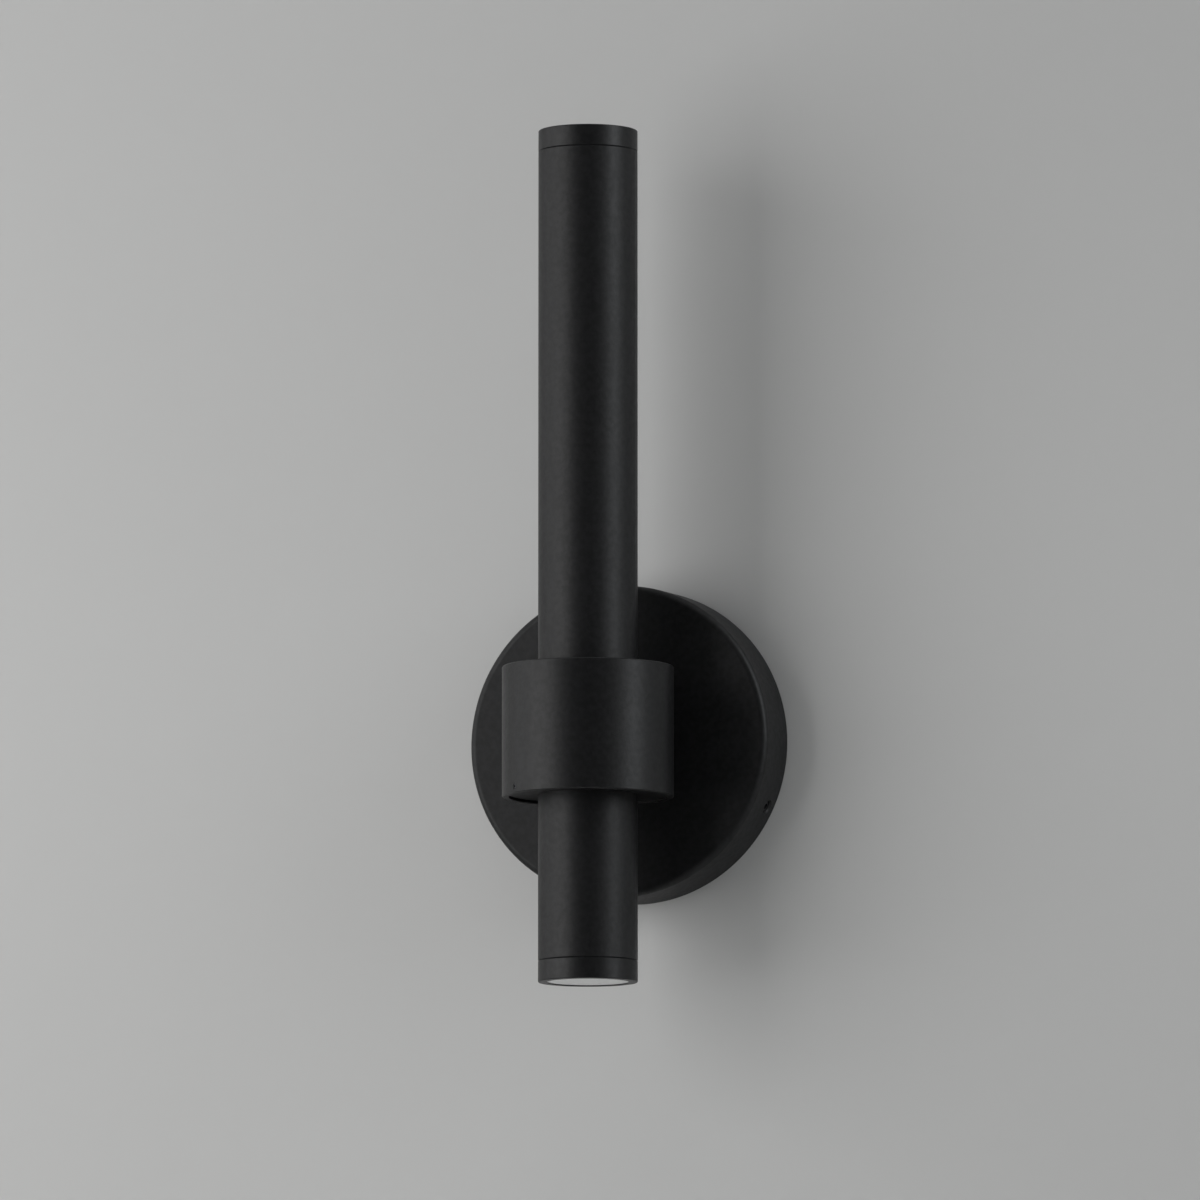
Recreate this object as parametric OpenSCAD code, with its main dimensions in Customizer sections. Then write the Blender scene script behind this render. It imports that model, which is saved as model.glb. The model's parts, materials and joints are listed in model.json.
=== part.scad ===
// Outdoor wall sconce: a slim round light tube that a short collar holds in front of a round canopy.
// The origin is the centre of the canopy's back, on the wall. +X is right, +Z is up, and the light
// stands out of the wall towards -Y. Both ends of the tube hold the same clamped light module.

/* [Canopy] */
// Diameter of the canopy at the wall
canopy_d = 128; // [120:0.2:150]
// Depth of the canopy out of the wall
canopy_depth = 25; // [24:0.5:36]
// Draft of the canopy's side, in degrees
canopy_draft = 1.5; // [0:0.1:3]
// Thickness of the canopy's side
canopy_wall = 2.6; // [2.2:0.1:4]
// Thickness of the canopy's front face
canopy_face = 2.8; // [2:0.1:4]
// Radius of the canopy's front edge
canopy_edge_r = 2.8; // [0.5:0.1:3.5]
// Diameter of the thicker pad behind the neck
neck_pad_d = 30; // [28:0.5:40]
// Height of the thicker pad behind the neck
neck_pad_t = 2; // [1:0.1:3]
// Radial width of the wall gasket
gasket_w = 3.6; // [3:0.1:4.4]
// Thickness of the wall gasket when it is pressed
gasket_t = 2.2; // [1:0.1:3]

/* [Canopy set screws] */
// Diameter of the three set screws
set_screw_d = 5; // [2.5:0.5:5]
// Length of the set screws
set_screw_len = 6; // [6:0.5:8]
// Distance of the set screws from the wall
set_screw_h = 7; // [6.5:0.5:9]
// Angle of the two lower set screws below the horizontal
set_screw_drop = 25; // [15:1:45]
// Depth of the set screws below the canopy's surface
set_screw_sink = 0.8; // [0.2:0.1:1]
// Width of the bevel round the holes of the set screws
set_screw_bevel = 0.7; // [0.3:0.1:1]

/* [Mounting plate] */
// Sheet thickness of the mounting plate
plate_t = 2; // [1.5:0.1:2.5]
// Width of the plate's rim outside the two side slots
plate_rim = 3; // [2.5:0.1:3.5]
// Distance between the two side slots, for a 4 inch round box
box_spacing = 88.9; // [82:0.1:90]
// Distance between the upper and the lower slot, for a 3 inch round box
small_box_spacing = 69.85; // [68:0.05:80]
// Width of the slots
slot_w = 4.8; // [4:0.1:5.5]
// Length of the slots from end to end
slot_len = 9; // [7:0.5:9.5]
// Diameter of the hole for the house wires
wire_hole_d = 32; // [20:1:34]
// Width of the bent tabs that the set screws press on
tab_w = 14; // [8:1:16]
// Height of the bent tabs out of the wall
tab_h = 12; // [11:0.5:16]
// Inner radius of the sheet bends
bend_r = 1.5; // [1:0.1:2.5]

/* [Terminals] */
// Height of the terminal block's middle above the canopy's centre
terminal_up = 23.4; // [22.5:0.1:24]
// Width of the terminal block's body
terminal_w = 24; // [22:0.5:28]
// Height of the terminal block's body along the wall
terminal_l = 12; // [10:0.5:12.5]
// Depth of the terminal block's body out of the mounting plate
terminal_depth = 13; // [11:0.5:15]
// Distance between two poles of the terminal block
pole_pitch = 8; // [7:0.5:9]
// Distance of the ground screw to the left of the centre
ground_left = 30; // [24:0.5:34]
// Distance of the ground screw below the centre
ground_down = 16; // [12:0.5:17]

/* [Neck] */
// Gap between the canopy's face and the back of the collar
neck_gap = 1.3; // [1:0.1:6]
// Diameter of the saddle that fills the gap
saddle_d = 30; // [28:0.5:34]
// Thread diameter of the hollow nipple
nipple_d = 10; // [9:0.5:11]
// Bore of the hollow nipple
nipple_bore = 7; // [6:0.5:7.5]
// Width across the flats of the hex nut
nut_flats = 14; // [13:0.5:17]
// Thickness of the hex nut
nut_t = 3; // [2:0.5:4]
// Diameter of the lock washer
washer_d = 18; // [16:0.5:20]
// Thickness of the lock washer
washer_t = 0.8; // [0.5:0.1:1.5]
// How far the nipple stands past its nuts
nipple_proud = 1; // [0.5:0.1:2]
// Radius of the ring that the o-ring lies on
o_ring_r = 8; // [7.2:0.1:9]
// Thickness of the o-ring
o_ring_t = 1.7; // [1.5:0.1:1.8]
// Depth of the o-ring's groove
o_ring_groove = 1.5; // [1.4:0.1:1.5]
// Diameter of the locating pin
pin_d = 3; // [2:0.5:3]
// Length of the locating pin
pin_len = 4.6; // [3:0.1:5]
// Distance of the locating pin from the nipple's axis
pin_offset = 11.5; // [11:0.1:12]

/* [Collar] */
// Outer diameter of the collar
collar_d = 69; // [62:0.5:80]
// Height of the collar
collar_h = 52.6; // [40:0.2:70]
// Wall of the collar
collar_wall = 2.7; // [2:0.1:4]
// Bevel of the collar's outer edges
collar_bevel = 0.4; // [0.2:0.1:1]
// Thickness of the collar's end plates
end_plate_t = 3; // [2.6:0.1:5]
// Depth of the end plates below the collar's ends
end_plate_recess = 1; // [0.4:0.1:3]
// Diameter of the small screws that hold the end plates
plate_screw_d = 2.2; // [1.4:0.1:2.4]
// Length of the small screws that hold the end plates
plate_screw_len = 5; // [4:0.5:6]
// Angle of the lower small screws, left of the light's front and right of its back
lower_screw_angle = 39; // [20:1:60]
// Angle of the upper small screws to both sides of the light's back
upper_screw_angle = 50; // [40:1:60]
// Diameter of the spacer between the collar and the tube
spacer_d = 19; // [16:0.5:24]

/* [Light tube] */
// Outer diameter of the tube
tube_d = 40; // [38:0.5:46]
// Wall of the tube
tube_wall = 3; // [2.6:0.1:3.2]
// Height of the light from its lower to its upper end
light_h = 344.5; // [320:0.5:420]
// Depth of the light's lower end below the canopy's centre
drop = 100.8; // [90:0.1:120]
// Thickness of the curved gasket between the spacer and the tube
tube_gasket_t = 1; // [0.5:0.1:2]
// Distance from the tube's axis to the flat side of the saddle nut
saddle_nut_flat = 11.5; // [10:0.5:13]
// Diameter of the saddle nut
saddle_nut_d = 18; // [16:0.5:20]

/* [Bezel and lens] */
// Height of the screwed bezel at each end
bezel_h = 8.5; // [8:0.1:12]
// Width of the bezel's rim around the lens
bezel_rim = 3.5; // [2.6:0.1:4]
// Thickness of the bezel's lip in front of the lens
lip_t = 1.5; // [1:0.1:2]
// Wall of the bezel over the thread
bezel_wall = 1.2; // [1:0.1:1.3]
// Radius of the bezel's outer edge
bezel_edge_r = 0.4; // [0.2:0.1:0.8]
// Chamfers that make the dark line between bezel and tube
seam_chamfer = 0.3; // [0.1:0.1:0.5]
// Depth of the lens below the bezel's rim
lens_recess = 0.3; // [0.1:0.1:0.8]
// Thickness of the lens's flange behind the lip
lens_flange_t = 2; // [1.6:0.1:2.4]
// Thickness of the lens gasket when it is pressed
lens_gasket_t = 0.9; // [0.5:0.1:1.2]

/* [Light module] */
// Height of the reflector
reflector_h = 15; // [12:0.5:20]
// Wall of the reflector
reflector_wall = 1.2; // [0.8:0.1:1.3]
// Radius of the reflector's opening at the chip
reflector_throat_r = 6.6; // [6.4:0.1:7]
// Thickness of the board that carries the chip
board_t = 1.6; // [1:0.1:2]
// Thickness of the heat sink's base
sink_base_t = 5; // [4:0.5:8]
// Height of the heat sink's fins
fin_h = 18; // [10:1:24]
// Thickness of a fin
fin_t = 1.6; // [1:0.1:1.8]
// Distance between two fins
fin_pitch = 4.6; // [4.4:0.1:4.8]
// Diameter of the heat sink's post for the bracket
post_d = 9; // [8:0.5:10]
// Distance of the board screws from the tube's axis
board_screw_offset = 12.2; // [12.1:0.1:13]

/* [Driver] */
// Length of the driver's body
driver_len = 78; // [60:1:90]
// Width of the driver's body
driver_w = 24; // [20:0.5:25]
// Depth of the driver's body
driver_depth = 17; // [14:0.5:18]
// Length of the driver's end tabs
driver_tab = 6; // [6:0.5:8]
// Thickness of the driver's end tabs
driver_tab_t = 2; // [1.5:0.1:3]
// Gap between the driver's upper tab and the bracket's foot
driver_gap = 14; // [12:0.5:20]
// Width of the bracket
bracket_w = 20; // [16:0.5:22]
// Sheet thickness of the bracket
bracket_t = 1.5; // [1:0.1:2]
// Distance from the tube's axis to the back of the bracket
bracket_back = 9.6; // [9:0.1:10.5]

/* [Leads] */
// Diameter of the supply and ground leads
supply_lead_d = 2; // [1.6:0.1:2.4]
// Diameter of the leads of the light boards
led_lead_d = 1.4; // [1:0.1:1.8]

/* [Hidden] */
$fn = 128;
lead_sides = 8;
bend_steps = 4;
thread_gap = 0.05;    // between a thread and its hole
slide_gap = 0.1;      // between pieces that slide into each other
easy_gap = 0.2;       // between pieces that only pass each other
cut = 1;              // how far a cut runs past the face that it opens

// Colours of the materials
coat = "#26272a";
zinc = "#b9bfc3";
steel = "#8d9296";
bare_aluminium = "#c4c8cb";
brass = "#b5924c";
seal_rubber = "#17181a";
frosted = "#e9ebe6";
mirror_finish = "#dfe3e6";
board_white = "#f1f1ec";
phosphor = "#e6c34a";
nylon = "#ece8dc";
driver_case = "#e4e4df";
green = "#2f8146";

// Canopy and neck. Heights are measured out of the wall.
plate_d = box_spacing + slot_len + 2 * plate_rim;
canopy_r = canopy_d / 2;
face_inside = canopy_depth - canopy_face;
pad_h = face_inside - neck_pad_t;
set_screw_angles = [90, 180 + set_screw_drop, -set_screw_drop];
set_screw_out = draft_r(canopy_r, set_screw_h) - set_screw_sink;
tab_r = set_screw_out - set_screw_len;
boss_r = set_screw_d / 2 + 1.8;
boss_in = tab_r + 1.2;
gasket_r = canopy_r - canopy_wall / 2;
collar_back = canopy_depth + neck_gap;
collar_r = collar_d / 2;
collar_in = collar_r - collar_wall;
tube_r = tube_d / 2;
reach = collar_back + collar_r;
washer_h = pad_h - washer_t;
nut_h = washer_h - nut_t;
nipple_back = nut_h - nipple_proud;
nipple_front = reach - saddle_nut_flat + nipple_proud;
pin_mid = canopy_depth + 0.2;

// Ground screw and terminal block
ground_pos = [-ground_left, -ground_down];
ground_boss_r = 4.4;
ground_boss_h = plate_t + 2.5;
ground_shank_r = 2;
ring_t = 0.8;
barrel_r = supply_lead_d / 2 + 0.7;
barrel_from = 6;
barrel_len = 5;
barrel_h = ground_boss_h + barrel_r;
pole_h = plate_t + 5;
entry_r = supply_lead_d / 2 + 0.5;
entry_depth = 4;
well_r = 1.9;
well_depth = 5;
ear_w = 5;
ear_t = 2.5;
ear_x = terminal_w / 2 + ear_w / 2;
small_screw_r = 1.4;
small_head_r = 2.5;
small_head_t = 1.6;

// Stack of the light module, measured from the mouth of the bezel
tube_bore = tube_r - tube_wall;
step_r = tube_bore + 0.6;
lens_r = tube_r - bezel_rim;
bezel_bore = tube_r - bezel_wall;
male_r = bezel_bore - slide_gap;
lens_flange_r = bezel_bore - easy_gap;
flange_at = lip_t;
lens_back = flange_at + lens_flange_t;
tube_end = lens_back + lens_gasket_t;
board_at = tube_end + reflector_h;
sink_at = board_at + board_t;
step_at = sink_at + sink_base_t;
fins_end = step_at + fin_h;
module_r = step_r - slide_gap;
mouth_rim = 1.8;
fin_r = tube_bore - 0.4;
lead_x = 1.5 * fin_pitch;
lead_front = 12.5;
lead_hole_r = led_lead_d / 2 + 0.4;
chip_side = sqrt(2) * (reflector_throat_r - 0.3);
chip_t = 1.2;
board_screw_r = 1.5;

// Driver, measured up from the canopy's centre
rise = light_h - drop;
foot_top = rise - fins_end;
foot_bottom = foot_top - bracket_t;
driver_top = foot_bottom - driver_gap - driver_tab;
driver_bottom = driver_top - driver_len;
driver_back = bracket_back - bracket_t;
exit_h = 2;
exit_w = 5;
upper_exit_len = 16;
lower_exit_len = 9;
exit_front = reach + 3;
bracket_end = driver_bottom - driver_tab;
bracket_screw_r = 2;
post_hole_depth = 12;

// Radius of a drafted wall at a height out of the wall, from its radius at the wall
function draft_r(r, h) = r - h * tan(canopy_draft);

// Routes of the leads: corners are rounded, then a round section is swept along them
function unit(v) = v / norm(v);
function corner(p, q, bend) = p + min(bend, 0.45 * norm(q - p)) * unit(q - p);
function rounded(route, bend) =
    let (last = len(route) - 1)
    concat(
        [route[0]],
        [for (i = [1 : last - 1])
            let (a = corner(route[i], route[i - 1], bend), b = corner(route[i], route[i + 1], bend))
            for (s = [0 : bend_steps])
                let (t = s / bend_steps)
                (1 - t) * (1 - t) * a + 2 * t * (1 - t) * route[i] + t * t * b],
        [route[last]]
    );
function tangent(path, i) = unit(path[min(i + 1, len(path) - 1)] - path[max(i - 1, 0)]);
function carried(n, t) = unit(n - (n * t) * t);
function sides_of(path) =
    let (first = carried([0.31, 0.57, 0.76], tangent(path, 0)))
    [for (i = 0, n = first; i < len(path);
        n = carried(n, tangent(path, min(i + 1, len(path) - 1))), i = i + 1) n];

module swept(route, d, bend) {
    path = rounded(route, bend);
    across = sides_of(path);
    rings = len(path);
    points = [for (i = [0 : rings - 1])
        let (t = tangent(path, i), n = across[i], b = cross(t, n))
        for (j = [0 : lead_sides - 1])
            let (a = 360 * j / lead_sides)
            path[i] + d / 2 * (cos(a) * n + sin(a) * b)];
    walls = [for (i = [0 : rings - 2], j = [0 : lead_sides - 1])
        let (k = (j + 1) % lead_sides, low = i * lead_sides, high = low + lead_sides)
        for (f = [[low + j, high + k, low + k], [low + j, high + j, high + k]]) f];
    start = [for (j = [0 : lead_sides - 1]) j];
    end = [for (j = [lead_sides - 1 : -1 : 0]) (rings - 1) * lead_sides + j];
    polyhedron(points, concat(walls, [start, end]));
}

// Frames: x right, y up and z out of the wall, and the light's two mouths with z into the tube
module wall_frame() rotate([90, 0, 0]) children();
module lower_mouth() translate([0, -reach, -drop]) children();
module upper_mouth() translate([0, -reach, rise]) mirror([0, 0, 1]) children();
module along_tube() translate([0, -reach, 0]) children();

// Shapes that several pieces share
module ring(r_out, r_in, h) {
    difference() {
        cylinder(r = r_out, h = h);
        translate([0, 0, -cut]) cylinder(r = r_in, h = h + 2 * cut);
    }
}

module slot(len, w, h) {
    travel = len - w;
    for (s = [-1, 1]) translate([s * travel / 2, 0, 0]) cylinder(d = w, h = h);
    translate([-travel / 2, -w / 2, 0]) cube([travel, w, h]);
}

module hex(flats, h) cylinder(d = flats / cos(30), h = h, $fn = 6);

// Headless screw that lies along +z, with its socket at the top
module grub_screw(d, len, socket) {
    bevel = d / 8;
    difference() {
        union() {
            cylinder(d1 = d - 2 * bevel, d2 = d, h = bevel);
            translate([0, 0, bevel]) cylinder(d = d, h = len - 2 * bevel);
            translate([0, 0, len - bevel]) cylinder(d1 = d, d2 = d - 2 * bevel, h = bevel);
        }
        translate([0, 0, len - 0.7 * d]) hex(socket, d);
    }
}

// Pan head screw whose head stands on z = 0 and whose shank runs down
module pan_screw(r, len, head_r, head_t) {
    groove_w = head_r / 6;
    groove_len = 1.2 * head_r;
    difference() {
        union() {
            translate([0, 0, -len]) cylinder(r = r, h = len + head_t / 2);
            cylinder(r = head_r, h = 0.6 * head_t);
            translate([0, 0, 0.6 * head_t]) cylinder(r1 = head_r, r2 = 0.75 * head_r, h = 0.4 * head_t);
        }
        for (a = [0, 90]) rotate(a)
            translate([-groove_len / 2, -groove_w / 2, 0.4 * head_t]) cube([groove_len, groove_w, head_t]);
    }
}

module radial_hole(r, from, h) translate([from, 0, 0]) rotate([0, 90, 0]) cylinder(r = r, h = h);

// Mounting plate, gasket and ground

module tab_profile() {
    centre = tab_r - plate_t - bend_r;
    outer = plate_t + bend_r;
    root = plate_d / 2 - 6;
    translate([root, 0]) square([centre - root, plate_t]);
    translate([centre, outer]) intersection() {
        difference() {
            circle(r = outer);
            circle(r = bend_r);
        }
        translate([0, -outer]) square(outer);
    }
    translate([tab_r - plate_t, outer]) square([plate_t, tab_h - outer]);
}

module tab() rotate([90, 0, 0]) translate([0, 0, -tab_w / 2]) linear_extrude(tab_w) tab_profile();

module mounting_plate() {
    color(zinc) wall_frame() difference() {
        union() {
            cylinder(d = plate_d, h = plate_t);
            for (a = set_screw_angles) rotate(a) tab();
            translate(ground_pos) cylinder(r = ground_boss_r, h = ground_boss_h);
        }
        translate([0, 0, -cut]) {
            cylinder(d = wire_hole_d, h = plate_t + 2 * cut);
            for (s = [-1, 1]) translate([s * box_spacing / 2, 0, 0]) slot(slot_len, slot_w, plate_t + 2 * cut);
            for (s = [-1, 1]) translate([0, s * small_box_spacing / 2, 0])
                rotate(90) slot(slot_len, slot_w, plate_t + 2 * cut);
            translate(ground_pos) cylinder(r = ground_shank_r + thread_gap, h = ground_boss_h + 2 * cut);
            for (s = [-1, 1]) translate([s * ear_x, terminal_up, 0])
                cylinder(r = small_screw_r + thread_gap, h = plate_t + 2 * cut);
        }
    }
}

module wall_gasket() {
    color(seal_rubber) wall_frame() ring(gasket_r - slide_gap, gasket_r - gasket_w, gasket_t);
}

module ground_screw() {
    flats = 7;
    flange_t = 0.8;
    head_t = 3;
    groove = 1;
    seat = ground_boss_h + ring_t;
    top = seat + flange_t + head_t;
    color(green) wall_frame() translate(ground_pos) difference() {
        union() {
            translate([0, 0, easy_gap]) cylinder(r = ground_shank_r, h = seat);
            translate([0, 0, seat]) cylinder(r = ground_boss_r, h = flange_t);
            translate([0, 0, seat + flange_t]) hex(flats, head_t);
        }
        translate([-flats, -groove / 2, top - groove]) cube([2 * flats, groove, 2 * groove]);
    }
}

module ground_ring_terminal() {
    tongue_w = 3;
    color(zinc) wall_frame() translate([ground_pos[0], ground_pos[1], ground_boss_h]) {
        difference() {
            union() {
                cylinder(r = ground_boss_r - easy_gap, h = ring_t);
                translate([-tongue_w / 2, 0, 0]) cube([tongue_w, barrel_from + cut, ring_t]);
            }
            translate([0, 0, -cut]) cylinder(r = ground_shank_r + thread_gap, h = ring_t + 2 * cut);
            translate([0, barrel_from, barrel_r]) rotate([-90, 0, 0])
                cylinder(r = barrel_r - 0.35, h = barrel_len);
        }
        translate([0, barrel_from, barrel_r]) rotate([-90, 0, 0])
            ring(barrel_r, supply_lead_d / 2 + slide_gap, barrel_len);
    }
}

// Terminal block

module at_poles() for (i = [-1, 0, 1]) translate([i * pole_pitch, 0, 0]) children();

module at_clamps() at_poles() for (s = [-1, 1]) translate([0, s * terminal_l / 4, 0]) children();

module terminal_block() {
    length = terminal_w + 2 * ear_w;
    groove_w = 1;
    groove_depth = 2;
    color(nylon) wall_frame() translate([0, terminal_up, plate_t]) difference() {
        union() {
            translate([-terminal_w / 2, -terminal_l / 2, 0]) cube([terminal_w, terminal_l, terminal_depth]);
            translate([-length / 2, -terminal_l / 2, 0]) cube([length, terminal_l, ear_t]);
        }
        at_clamps() translate([0, 0, terminal_depth - well_depth]) cylinder(r = well_r, h = well_depth + cut);
        at_poles() for (s = [-1, 1]) translate([0, s * terminal_l / 2, pole_h - plate_t])
            rotate([s * 90, 0, 0]) translate([0, 0, -cut]) cylinder(r = entry_r, h = entry_depth + cut);
        for (i = [-0.5, 0.5])
            translate([i * pole_pitch - groove_w / 2, -terminal_l, terminal_depth - groove_depth])
                cube([groove_w, 2 * terminal_l, groove_depth + cut]);
        for (s = [-1, 1]) translate([s * ear_x, 0, -cut])
            cylinder(r = small_screw_r + thread_gap, h = ear_t + 2 * cut);
    }
}

module terminal_clamp_screws() {
    screw_len = 3;
    groove = 0.6;
    color(steel) wall_frame() translate([0, terminal_up, plate_t + terminal_depth - well_depth])
        at_clamps() difference() {
            cylinder(r = well_r - slide_gap, h = screw_len);
            translate([-well_r, -groove / 2, screw_len - groove]) cube([2 * well_r, groove, 2 * groove]);
        }
}

module terminal_fixing_screws() {
    color(steel) wall_frame() for (s = [-1, 1]) translate([s * ear_x, terminal_up, plate_t + ear_t])
        pan_screw(small_screw_r, ear_t + plate_t - 0.3, small_head_r, small_head_t);
}

// Canopy

// Filled outline of a drafted cup with a rounded front edge
module cup_outline(r, depth, edge) {
    centre_h = depth - edge;
    centre_r = draft_r(r, centre_h + edge * sin(canopy_draft)) - edge * cos(canopy_draft);
    touch = [centre_r + edge * cos(canopy_draft), centre_h + edge * sin(canopy_draft)];
    polygon([[0, 0], [r, 0], touch, [centre_r, centre_h], [centre_r, depth], [0, depth]]);
    translate([centre_r, centre_h]) circle(r = edge, $fn = 48);
}

module canopy() {
    hole_r = set_screw_d / 2 + thread_gap;
    color(coat) wall_frame() difference() {
        union() {
            rotate_extrude() difference() {
                cup_outline(canopy_r, canopy_depth, canopy_edge_r);
                cup_outline(canopy_r - canopy_wall, face_inside, canopy_edge_r / 2);
                square([gasket_r, gasket_t]);
            }
            translate([0, 0, pad_h]) cylinder(d = neck_pad_d, h = neck_pad_t + canopy_face / 2);
            for (a = set_screw_angles) rotate(a) translate([0, 0, set_screw_h])
                radial_hole(boss_r, boss_in, canopy_r - canopy_wall / 2 - boss_in);
        }
        translate([0, 0, pad_h - cut]) cylinder(r = nipple_d / 2 + slide_gap, h = canopy_depth);
        translate([pin_offset, 0, pin_mid - pin_len / 2])
            cylinder(r = pin_d / 2 + thread_gap, h = canopy_depth);
        translate([0, 0, canopy_depth - o_ring_groove])
            ring(o_ring_r + o_ring_t / 2 + slide_gap, o_ring_r - o_ring_t / 2 - slide_gap, canopy_depth);
        for (a = set_screw_angles) rotate(a) translate([0, 0, set_screw_h]) {
            radial_hole(hole_r, boss_in - cut, canopy_r);
            translate([draft_r(canopy_r, set_screw_h) - set_screw_bevel, 0, 0]) rotate([0, 90, 0])
                cylinder(r1 = hole_r, r2 = hole_r + 2 * set_screw_bevel, h = 2 * set_screw_bevel);
        }
    }
}

module canopy_set_screws() {
    color(steel) wall_frame() for (a = set_screw_angles) rotate(a)
        translate([tab_r, 0, set_screw_h]) rotate([0, 90, 0])
            grub_screw(set_screw_d, set_screw_len, set_screw_d / 2);
}

// Neck: what joins the canopy, the collar and the tube along the nipple's axis

module neck_o_ring() {
    color(seal_rubber) wall_frame() translate([0, 0, canopy_depth - o_ring_groove])
        rotate_extrude() intersection() {
            translate([o_ring_r, o_ring_groove / 2]) circle(d = o_ring_t, $fn = 48);
            square([2 * o_ring_r, o_ring_groove]);
        }
}

module neck_saddle() {
    color(coat) difference() {
        wall_frame() difference() {
            translate([0, 0, canopy_depth]) cylinder(d = saddle_d, h = reach - canopy_depth);
            cylinder(r = nipple_d / 2 + slide_gap, h = reach + cut);
            translate([pin_offset, 0, 0]) cylinder(r = pin_d / 2 + thread_gap, h = pin_mid + pin_len / 2);
        }
        along_tube() cylinder(r = collar_r, h = 2 * collar_h, center = true);
    }
}

module locating_pin() {
    color(steel) wall_frame() translate([pin_offset, 0, pin_mid - pin_len / 2]) cylinder(d = pin_d, h = pin_len);
}

module threaded_nipple() {
    color(brass) wall_frame() translate([0, 0, nipple_back])
        ring(nipple_d / 2, nipple_bore / 2, nipple_front - nipple_back);
}

module lock_washer() {
    color(zinc) wall_frame() translate([0, 0, washer_h])
        ring(washer_d / 2, nipple_d / 2 + slide_gap, washer_t);
}

module hex_nut() {
    color(brass) wall_frame() translate([0, 0, nut_h]) difference() {
        intersection() {
            hex(nut_flats, nut_t);
            cylinder(r1 = nut_flats / 2 + 0.3, r2 = nut_flats / 2 + 0.3 + nut_t, h = nut_t);
        }
        translate([0, 0, -cut]) cylinder(r = nipple_d / 2 + thread_gap, h = nut_t + 2 * cut);
    }
}

// Round block along the nipple between two radii about the tube's axis
module curved_block(d, r_out, r_in, bore_r) {
    intersection() {
        along_tube() difference() {
            cylinder(r = r_out, h = 2 * d, center = true);
            cylinder(r = r_in, h = 3 * d, center = true);
        }
        wall_frame() ring(d / 2, bore_r, reach);
    }
}

module collar_spacer() {
    color(bare_aluminium)
        curved_block(spacer_d, collar_in, tube_r + tube_gasket_t, nipple_d / 2 + slide_gap);
}

module tube_gasket() {
    color(seal_rubber)
        curved_block(spacer_d, tube_r + tube_gasket_t, tube_r, nipple_d / 2 + slide_gap);
}

module saddle_nut() {
    color(zinc) intersection() {
        along_tube() cylinder(r = tube_bore, h = 2 * saddle_nut_d, center = true);
        wall_frame() ring(saddle_nut_d / 2, nipple_d / 2 + thread_gap, reach - saddle_nut_flat);
    }
}

// Collar

module at_plate_screws() {
    plate_mid = collar_h / 2 - end_plate_recess - end_plate_t / 2;
    along_tube() {
        for (a = [-90 - lower_screw_angle, 90 - lower_screw_angle])
            rotate(a) translate([0, 0, -plate_mid]) children();
        for (a = [90 - upper_screw_angle, 90 + upper_screw_angle])
            rotate(a) translate([0, 0, plate_mid]) children();
    }
}

module collar() {
    color(coat) difference() {
        along_tube() translate([0, 0, -collar_h / 2]) rotate_extrude() polygon([
            [collar_in, 0],
            [collar_r - collar_bevel, 0],
            [collar_r, collar_bevel],
            [collar_r, collar_h - collar_bevel],
            [collar_r - collar_bevel, collar_h],
            [collar_in, collar_h]
        ]);
        wall_frame() cylinder(r = nipple_d / 2 + slide_gap, h = reach);
        at_plate_screws() radial_hole(plate_screw_d / 2 + thread_gap, collar_in - cut, collar_wall + 2 * cut);
    }
}

module collar_plate(side) {
    inset = collar_h / 2 - end_plate_recess - end_plate_t;
    r_out = collar_in - slide_gap;
    color(coat) difference() {
        along_tube() mirror([0, 0, side < 0 ? 1 : 0]) translate([0, 0, inset])
            ring(r_out, tube_r + easy_gap, end_plate_t);
        at_plate_screws() radial_hole(
            plate_screw_d / 2 + thread_gap,
            collar_r - collar_bevel - plate_screw_len,
            plate_screw_len
        );
    }
}

module upper_collar_plate() collar_plate(1);
module lower_collar_plate() collar_plate(-1);

module collar_plate_screws() {
    color(steel) at_plate_screws() translate([collar_r - collar_bevel - plate_screw_len, 0, 0])
        rotate([0, 90, 0]) grub_screw(plate_screw_d, plate_screw_len, plate_screw_d / 2);
}

// Tube and its two ends

// What is cut away at one end of the tube: room for the bezel's thread, the module's seat and the seam
module tube_end_cut() {
    translate([0, 0, tube_end]) {
        translate([0, 0, -bezel_h]) ring(2 * tube_r, male_r, 2 * bezel_h - tube_end);
        translate([0, 0, -cut]) cylinder(r = step_r, h = step_at - tube_end + cut);
    }
    translate([0, 0, bezel_h]) difference() {
        cylinder(r = 2 * tube_r, h = seam_chamfer);
        cylinder(r1 = tube_r - seam_chamfer, r2 = tube_r, h = seam_chamfer);
    }
}

module tube() {
    color(coat) difference() {
        lower_mouth() translate([0, 0, tube_end]) ring(tube_r, tube_bore, light_h - 2 * tube_end);
        lower_mouth() tube_end_cut();
        upper_mouth() tube_end_cut();
        wall_frame() cylinder(r = nipple_d / 2 + slide_gap, h = reach);
    }
}

module bezel() {
    color(coat) rotate_extrude() {
        difference() {
            union() {
                translate([lens_r, 0]) square([bezel_rim - bezel_edge_r, bezel_h]);
                translate([lens_r, bezel_edge_r]) square([bezel_rim, bezel_h - bezel_edge_r]);
                translate([tube_r - bezel_edge_r, bezel_edge_r]) circle(r = bezel_edge_r, $fn = 48);
            }
            translate([0, lip_t]) square([bezel_bore, bezel_h]);
            polygon([
                [tube_r, bezel_h - seam_chamfer],
                [tube_r + cut, bezel_h - seam_chamfer - cut],
                [tube_r + cut, bezel_h + cut],
                [tube_r - seam_chamfer - cut, bezel_h + cut]
            ]);
        }
    }
}

module lens() {
    color(frosted) {
        translate([0, 0, lens_recess]) cylinder(r = lens_r - slide_gap, h = flange_at - lens_recess + 0.1);
        translate([0, 0, flange_at]) cylinder(r = lens_flange_r, h = lens_flange_t);
    }
}

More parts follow.
